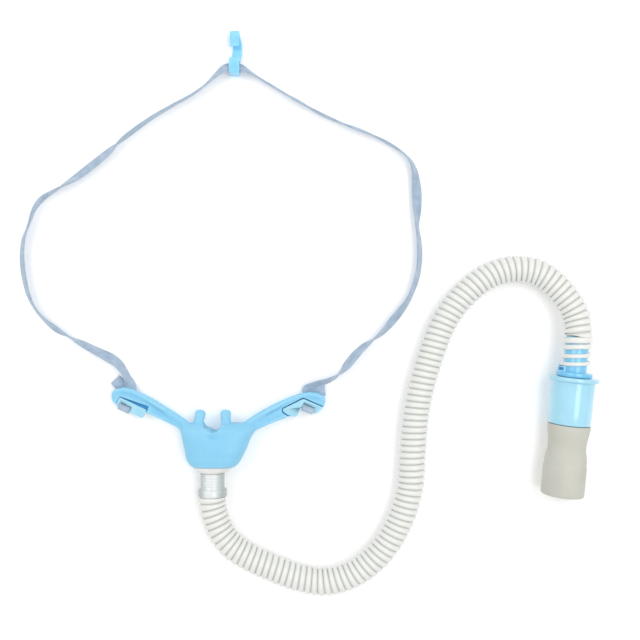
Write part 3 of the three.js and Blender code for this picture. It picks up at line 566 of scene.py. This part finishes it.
# Half section of the bead: share of its width from its middle, and radius
bead_half = [(0.5, BEAD_FOOT), (0.5, 6.9), (0.43, 7.6), (0.26, 8.05)]
bead_section = [(-share, radius) for share, radius in bead_half] + [(0, 8.2)] + bead_half[::-1]
bead_rings = []
first_step, last_step = int(FIRST_TURN * TURN_STEPS), int(LAST_TURN * TURN_STEPS)
for k in range(first_step, last_step + 1):
    turn = k / TURN_STEPS
    angle = math.pi / 2 - 2 * math.pi * turn
    s = np.interp(turn, range(6), TURN_MIDDLES)
    width = np.interp(turn, range(6), TURN_WIDTHS)
    fade = min(1.0, (last_step - k + 1) / 9, (k - first_step + 1) / 7)
    radii = [BEAD_FOOT + (radius - BEAD_FOOT) * fade for _, radius in bead_section]
    bead_rings.append([(radius * math.cos(angle) * MM, (s + share * width * fade) * MM,
                        radius * math.sin(angle) * MM) for (share, _), radius in zip(bead_section, radii)])
sleeve_turns = lofted("hose_end_turns", bead_rings)
# the bead's foot on the sleeve is painted greyer as shade, as in the hose's grooves
layer = sleeve_turns.data.uv_layers.new(name="bead")
for loop in sleeve_turns.data.loops:
    x, _, z = sleeve_turns.data.vertices[loop.vertex_index].co
    layer.data[loop.index].uv = (0.5, min(1.0, 0.3 + (math.hypot(x, z) / MM - BEAD_FOOT) / 1.7))
smooth(sleeve_turns, 60)
at_connector(sleeve_turns)

# Barrel with its big flange
barrel = turned("connector_barrel_blue", [
    (6.45, 0), (13.6, 0), (13.9, 0.25), (14, 0.7), (14, 1.5), (13.85, 1.95), (13.5, 2.2), (12.5, 2.25),
    (12.15, 2.4), (12.0, 2.8), (11.9, 10), (11.75, 25.9), (11.55, 26.4), (11.2, 26.6), (9.1, 26.6),
    (9.1, 39.2), (8.8, 39.6), (7.5, 39.6), (7.5, 9.6), (6.45, 7.6)], 128)
at_connector(barrel)

# Rubber cuff
cuff = turned("grey_cuff_rubber", [
    (9.4, 26.9), (11.3, 26.9), (11.65, 27.0), (11.85, 27.3), (11.9, 28.0), (11.72, 29.6), (11.4, 31.6),
    (11.1, 33.4), (10.85, 35), (10.65, 36.8), (10.52, 38.6), (10.52, 39.8), (10.62, 41), (10.85, 42.3),
    (11.15, 43.5), (11.42, 44.6), (11.55, 46), (11.62, 48), (11.68, 49.8), (11.74, 50.2), (11.92, 50.5),
    (11.98, 51), (12.02, 56), (12.08, 62), (12.1, 64.8), (12.0, 66.1), (11.7, 66.8), (11.2, 67.0),
    (9.9, 67.0), (9.5, 66.7), (9.4, 66.2)], 128)
at_connector(cuff)

# White oval ring with its plug
def oval(y, half_width, half_depth, power, count=96):
    """A ring of points about the adapter's axis; a higher power makes it boxier."""
    ring = []
    for i in range(count):
        a = 2 * math.pi * i / count
        c, s = math.cos(a), math.sin(a)
        ring.append((
            (AXIS_X + half_width * math.copysign(abs(c) ** (2 / power), c)) * MM, y * MM,
            (AXIS_Z + half_depth * math.copysign(abs(s) ** (2 / power), s)) * MM))
    return ring


RING_TOP = -116.8
# Distance from the ring's top, half width, half depth, and how boxy the oval is
ring_rows = [
    (6, 7.5, 4.5, 2.5), (5.4, 7.9, 4.9, 2.5), (0.4, 7.9, 4.9, 2.5), (0.3, 10.3, 6.8, 2.2),
    (0, 10.75, 7.15, 2.2), (-0.5, 10.9, 7.3, 2.2), (-1.0, 10.75, 7.25, 2.2), (-1.6, 10.1, 7.2, 2.2),
    (-2.3, 8.7, 7.1, 2.15), (-2.8, 7.6, 6.98, 2.1), (-3, 7.2, 6.8, 2.05),
]
ring = lofted("adapter_ring_white", [oval(RING_TOP + row[0], *row[1:]) for row in ring_rows])
bpy.ops.object.select_all(action="DESELECT")
bpy.ops.mesh.primitive_cylinder_add(vertices=72, radius=5.2 * MM, depth=40 * MM,
                                    location=(AXIS_X * MM, RING_TOP * MM, AXIS_Z * MM),
                                    rotation=(math.pi / 2, 0, 0))
join_or_cut(ring, bpy.context.object, "DIFFERENCE")
smooth(ring, 35)

# Clear adapter: its spigot, the ribbed tube and the bulge that the hose is pushed up to
TUBE_TOP = 120.1
# Radius, and distance below the tube's top
tube_rows = [(4, -5), (4.6, -5), (4.9, -4.7), (4.9, -0.1), (5.1, 0), (6.6, 0), (6.85, 0.25)]
for k in range(5):
    rib = 0.9 + 1.6 * k
    tube_rows += [(6.85, rib), (6.7, rib + 0.15), (6.7, rib + 0.45), (6.85, rib + 0.6)]
tube_rows += [(6.85, 8.4), (7.15, 8.8), (7.9, 9.1), (8.25, 9.6), (8.3, 10.4), (8.3, 12.5), (8.15, 13),
              (7.8, 13.2), (4, 13.2)]
adapter = turned("clear_adapter_tube", [(radius, -(TUBE_TOP + below)) for radius, below in tube_rows])
adapter.data.transform(Matrix.Translation((AXIS_X * MM, 0, AXIS_Z * MM)))

# Soft nasal piece: the moulded form with its joins melted together
SILICONE_GRID, CLIP_GRID = 0.42, 0.2      # how finely the moulded forms are meshed anew, mm
nasal_piece = cad_copy("cannula_body", "nasal_piece_silicone")
modify(nasal_piece, "REMESH", mode="VOXEL", voxel_size=SILICONE_GRID * MM, adaptivity=0.0)
modify(nasal_piece, "SMOOTH", factor=0.5, iterations=6)


def near(value, low, high, ramp):
    """1 between low and high, falling to 0 over the ramp outside them."""
    return np.clip(np.minimum(value - low, high - value) / ramp + 1, 0, 1)


def vertex_table(obj, name="co"):
    table = np.zeros(len(obj.data.vertices) * 3)
    if name == "co":
        obj.data.vertices.foreach_get("co", table)
    else:
        obj.data.vertex_normals.foreach_get("vector", table)
    return table.reshape(-1, 3)


# The prongs and wings run into the chamber over soft hollows, all above the chamber's middle, and the
# paddles' ends are round: each region with its rounds of smoothing
where = vertex_table(nasal_piece) / MM
prong_feet = near(where[:, 0], -16, 10, 3) * near(where[:, 1], -103, -89.5, 2) * near(where[:, 2], 9, 30, 3)
shoulders = (near(abs(where[:, 0] + 2.5), 15, 27, 3) * near(where[:, 1], -106, -84, 3)
             * near(where[:, 2], 10, 30, 2))
paddle_ends = near(abs(where[:, 0]), 57.5, 70, 2)
for name, share, rounds in (("prong_feet", prong_feet, 40), ("shoulders", shoulders, 130),
                            ("paddle_ends", paddle_ends, 40)):
    group = nasal_piece.vertex_groups.new(name=name)
    for index in np.nonzero(share > 0.02)[0]:
        group.add([int(index)], float(share[index]), "REPLACE")
    modify(nasal_piece, "SMOOTH", factor=0.5, iterations=rounds, vertex_group=name)

# A shallow dimple below the valley between the prongs, running down to the left
where = vertex_table(nasal_piece)
DIMPLE_X, DIMPLE_Y, DIMPLE_DEPTH = -3.4, -97.6, 1.5
x, y, z = (where / MM).T
along = (x - DIMPLE_X) * 0.5 + (y - DIMPLE_Y) * 0.87
aside = (x - DIMPLE_X) * 0.87 - (y - DIMPLE_Y) * 0.5
where[:, 2] -= (DIMPLE_DEPTH * MM * np.exp(-(along / 3.4) ** 2 - (aside / 4.2) ** 2)
                * np.clip((z - 11) / 4, 0, 1))
nasal_piece.data.vertices.foreach_set("co", where.ravel())
nasal_piece.data.update()

# How proud the skin is, which sets the painted light: 0.5 where it is flat, less in grooves and on the
# pocket floors, which get painted shade, more on ridges, which get painted highlight
EASING_ROUNDS = 14                # a wider hollow needs more
ends = np.zeros(len(nasal_piece.data.edges) * 2, int)
nasal_piece.data.edges.foreach_get("vertices", ends)
ends = ends.reshape(-1, 2)
degree = np.bincount(ends.ravel(), minlength=len(where))[:, None]
eased = where.copy()
for _ in range(EASING_ROUNDS):
    total = np.zeros_like(eased)
    np.add.at(total, ends[:, 0], eased[ends[:, 1]])
    np.add.at(total, ends[:, 1], eased[ends[:, 0]])
    eased = total / degree
hollowness = ((eased - where) * vertex_table(nasal_piece, "normal")).sum(axis=1) / MM
shade_and_highlight_layer = nasal_piece.data.attributes.new("painted_shade_and_highlight", "FLOAT", "POINT")
x, y, z = (where / MM).T
facing_up = np.clip(vertex_table(nasal_piece, "normal")[:, 2], 0, 1)
# the pocket floors are painted darker still, as shade
pocket_floor_shade = (abs(x) > 36) * near(z, 5.0, 5.9, 0.3) * facing_up
shade_and_highlight_layer.data.foreach_set("value", np.clip(0.5 - hollowness / 1.6 - 0.55 * pocket_floor_shade, 0, 1))
smooth(nasal_piece, 180)

# Buckle tabs
buckles = []
for side in ("left", "right"):
    tab = cad_copy(f"buckle_{side}", f"buckle_tab_{side}")
    modify(tab, "BEVEL", width=0.28 * MM, segments=3, limit_method="ANGLE", angle_limit=math.radians(40))
    smooth(tab, 40)
    buckles.append(tab)

# Head strap, one band from loose end to loose end
BAND_WIDTH, BAND_THICKNESS = 7.0, 1.0
MAIN_Z, TAIL_Z = 3.3, 2.0            # band under the paddle: the loop part, and the loose end below it
# Middle of each tab's window, heading of its outer end in degrees, and side
LEFT_TAB, RIGHT_TAB = (-54.4, -80.2, 154.6, 1), (50.6, -80.8, -22.0, -1)
# Stations in mm: x, y, lean in degrees from standing on edge, and extra lift
LEFT_STRAP = [
    (3, 114.4, 45, 1.5), (-2.6, 110.4, 30, 0.5), (-8.4, 105.1, 18, 0), (-15.7, 99.6, 14, 0),
    (-29.9, 91.5, 8, 0), (-40.8, 84.9, 3, 0), (-57, 72.9, 4, 0), (-64, 66.8, 38, 0), (-71.3, 60.9, 48, 0),
    (-82.6, 52.1, 44, 0), (-94.8, 44.3, 10, 0), (-103, 38.9, -4, 0), (-107.4, 33.3, 4, 0),
    (-110.4, 24.9, 14, 0), (-113.8, 15.6, 28, 0), (-114.7, 7.2, 32, 0), (-114.3, -1, 34, 0),
    (-112.9, -9.6, 32, 0), (-110.4, -18, 26, 0), (-106.6, -25.2, 18, 0), (-101.2, -31.4, 23, 0),
    (-95, -36.3, 33, 0), (-89.4, -39.5, 14, 0), (-84.8, -42, 0, 0), (-80.3, -44.4, -18, 0),
    (-75.6, -46.9, -25, 0), (-70, -49.8, -34, 0), (-63.9, -53, -44, 0), (-59.2, -56.4, -34, 0),
    (-55.8, -60.8, -22, 0), (-53.8, -65, -24, 0), (-52.8, -67.8, -50, 0), (-52.2, -70.2, -86, 0),
]
RIGHT_STRAP = [
    (10, 114.6, 45, 1.5), (14.6, 112.8, 26, 0.6), (20, 109.6, 13, 0), (28.1, 104.6, 8, 0),
    (35.8, 100, 9, 0), (44, 95.4, 18, 0), (54.2, 89.4, 5, 0), (62.3, 85.4, 5, 0), (69.6, 82.4, 11, 0),
    (77.9, 79.3, 19, 0), (85.4, 76.3, 15, 0), (95.4, 71.3, 4, 0), (105, 65.2, 12, 0), (109.2, 60.6, 18, 0),
    (111.3, 55.6, 30, 0), (112.3, 49.4, 44, 0), (112.8, 42.3, 56, 0), (113, 33.6, 46, 0),
    (113, 23.1, 18, 0), (114, 15.1, 23, 0), (114.4, 6.6, 27, 0), (113.9, -0.9, 25, 0),
    (112.4, -7.7, 27, 0), (110, -14.7, 22, 0), (107.2, -20.4, 26, 0), (103.3, -25.9, 37, 0),
    (98.9, -31.3, 39, 0), (95, -36, 29, 0), (91.2, -39.6, 17, 0), (87.3, -42.6, 0, 0),
    (83.2, -45.6, -22, 0), (79, -49.5, -33, 0), (75.2, -53.9, -38, 0), (71.9, -58, -30, 0),
    (69, -61.2, -8, 0), (65.6, -64, 14, 0), (61, -66.2, 24, 0.3), (56.4, -67.6, 34, 1),
    (52.4, -69.6, 50, 1), (50, -71.6, 83, 0),
]
LEFT_TAIL = [(-56.3, -73.8), (-57.2, -70.6), (-59.2, -67.6), (-61.3, -65.3)]
RIGHT_TAIL = [(53.4, -74.4), (55.4, -72.4), (57.6, -71.6), (60, -71.3)]
# Round the tab's lower bar: distance above the window's middle, and height
TURN_ROUND_BAR = [
    (5.4, 3.3), (3.4, 3.3), (2, 3.3), (1, 3.9), (0.3, 5.35), (-0.1, 6.95), (-0.5, 7.7), (-1.4, 8.2),
    (-2.1, 8.1), (-2.7, 7.45), (-3.0, 6.35), (-2.7, 5.25), (-1.9, 4.4), (-0.9, 3.1), (1, 2.2), (3.4, 2.0),
]


def band_frames(stations, tab, tail, sign):
    """Middle and width direction along one half, from the clip to the loose end, in mm."""
    out = []
    for i, (x, y, lean, lift) in enumerate(stations):
        ax, ay = stations[max(i - 1, 0)][:2]
        bx, by = stations[min(i + 1, len(stations) - 1)][:2]
        outward = np.array((by - ay, ax - bx, 0.0)) * -sign
        outward /= np.linalg.norm(outward)
        tilt = math.radians(lean)
        flat = max(0.0, (abs(lean) - 50) / 40)
        z = (BAND_WIDTH / 2 * math.cos(tilt) + BAND_THICKNESS / 2 * abs(math.sin(tilt)) + lift
             + flat * (MAIN_Z - BAND_THICKNESS / 2))
        out.append((np.array((x, y, z)), outward * math.sin(tilt) + np.array((0, 0, 1.0)) * math.cos(tilt)))
    tab_x, tab_y, heading, tab_side = tab
    along = np.array((math.cos(math.radians(heading)), math.sin(math.radians(heading)), 0.0))
    above = np.array((-along[1], along[0], 0.0)) * -tab_side
    window = np.array((tab_x, tab_y, 0.0))
    turn_across = along * math.copysign(1.0, along.dot(out[-1][1]))
    for d, z in TURN_ROUND_BAR:
        out.append((window + above * d + np.array((0, 0, z)), turn_across))
    end = out[-1][0]
    for i, (x, y) in enumerate(tail):
        bx, by = tail[i - 1] if i else end[:2]
        nx, ny = tail[min(i + 1, len(tail) - 1)]
        side = np.array((ny - by, bx - nx, 0.0))
        side /= np.linalg.norm(side)
        out.append((np.array((x, y, TAIL_Z)), side if side.dot(turn_across) > 0 else -side))
    return out


left = band_frames(LEFT_STRAP, LEFT_TAB, LEFT_TAIL, 1)
right = band_frames(RIGHT_STRAP, RIGHT_TAB, RIGHT_TAIL, -1)
stations = [np.concatenate(station) for station in left[::-1] + right]
band, band_length = spline_points(stations, 900)
SHIFT = np.array((0.3, -2.0, 0.0))          # from the strap's own numbers to the part's origin, mm
# Section of the band, from one edge to its middle and mirrored: a raised selvedge along both edges
t = BAND_THICKNESS / 2
w = BAND_WIDTH / 2
edge = [(w - 0.05, 0.0), (w - 0.15, t * 0.7), (w - 0.45, t), (w - 0.9, t * 0.98), (w - 1.2, t * 0.86),
        (w * 0.33, t * 0.84)]
section = (edge + [(-a, b) for a, b in edge[::-1]] + [(-a, -b) for a, b in edge[1:]]
           + [(a, -b) for a, b in edge[:0:-1]])
middles = band[:, :3] + SHIFT
tangents = np.gradient(middles, axis=0)
tangents /= np.linalg.norm(tangents, axis=1)[:, None]
rings = []
for i in range(len(middles)):
    side = band[i, 3:] - tangents[i] * band[i, 3:].dot(tangents[i])
    side /= np.linalg.norm(side)
    face = np.cross(tangents[i], side)
    rings.append([tuple((middles[i] + side * a + face * b) * MM) for a, b in section])
strap = lofted("head_strap_knit", rings)
layer = strap.data.uv_layers.new(name="band")
step = band_length / (len(middles) - 1)
count = len(section)
for loop in strap.data.loops:
    i, j = divmod(loop.vertex_index, count)
    layer.data[loop.index].uv = (i * step, section[j][0])
smooth(strap, 60)

# Tube clip: the shank bows to the right, and the loop and lip stay where they are
CLIP_MIDDLE, SHANK_START, SHANK_END, SHANK_BOW = 8.3, 115.5, 131.0, 1.3
clip = cad_copy("tube_clip", "tube_clip_blue")
modify(clip, "REMESH", mode="VOXEL", voxel_size=CLIP_GRID * MM, adaptivity=0.0)
modify(clip, "SMOOTH", factor=0.5, iterations=5)
where = vertex_table(clip) / MM
share = np.clip((where[:, 1] - SHANK_START) / (SHANK_END - SHANK_START), 0, 1)
low = np.clip((4.6 - where[:, 2]) / 0.8, 0, 1)
where[:, 0] += SHANK_BOW * np.sin(math.pi * share) * low
loop_share = np.clip((SHANK_START + 1 - where[:, 1]) / 2, 0, 1)
where[:, 0] += (where[:, 0] - CLIP_MIDDLE) * 0.08 * loop_share
clip.data.vertices.foreach_set("co", (where * MM).ravel())
clip.data.update()
smooth(clip, 180)

# Who rides on what
dress(hose, "cannula", hose_film, "hose_plastic", "hose")
dress(sleeve, "cannula", sleeve_blue, "blue_plastic", "hose_sleeve")
dress(sleeve_turns, "cannula", hose_film, "hose_plastic")
dress(barrel, "connector", barrel_blue, "blue_plastic", "connector_barrel")
dress(cuff, "connector", grey_rubber, "grey_rubber", "grey_cuff")
dress(ring, "cannula", white_plastic, "white_plastic", "adapter_ring")
dress(adapter, "cannula", clear_plastic, "clear_plastic", "clear_adapter")
dress(nasal_piece, "cannula", silicone, "silicone", "cannula_body")
for tab, side in zip(buckles, ("left", "right")):
    dress(tab, "cannula", tab_plastic, "tab_plastic", f"buckle_{side}")
dress(strap, "cannula", strap_knit, "strap_knit", "head_strap")
dress(clip, "cannula", clip_plastic, "clip_plastic", "tube_clip")

# Floor and light
# the floor glows a little, like a light table, so that contact shadows stay faint
floor_material, floor_shader = new_material("studio_floor_white", "#F0F0F0", 0.9)
floor_shader.inputs["Emission Color"].default_value = (1, 1, 1, 1)
floor_shader.inputs["Emission Strength"].default_value = 0.16
bpy.ops.object.select_all(action="DESELECT")
bpy.ops.mesh.primitive_plane_add(size=6)
floor = bpy.context.object
floor.name = "studio_floor"
floor.data.materials.append(floor_material)

world = bpy.data.worlds.new("studio")
world.use_nodes = True
world.node_tree.nodes["Background"].inputs["Color"].default_value = (1, 1, 1, 1)
world.node_tree.nodes["Background"].inputs["Strength"].default_value = 0.66
bpy.context.scene.world = world


def soft_light(name, place, target, size, watts):
    data = bpy.data.lights.new(name, "AREA")
    data.shape = "RECTANGLE"
    data.size, data.size_y = size
    data.energy = watts
    lamp = bpy.data.objects.new(name, data)
    bpy.context.scene.collection.objects.link(lamp)
    lamp.location = place
    lamp.rotation_euler = (Vector(target) - Vector(place)).to_track_quat("-Z", "Y").to_euler()
    lamp.visible_camera = False
    return lamp


soft_light("softbox_overhead", (0.5, 0.0, 1.1), (0.2, 0.0, 0), (1.3, 0.5), 6.4)
soft_light("softbox_left", (-0.6, 0.3, 0.9), (0.0, -0.05, 0), (0.6, 0.6), 3.2)

bpy.context.scene.view_settings.view_transform = "Standard"
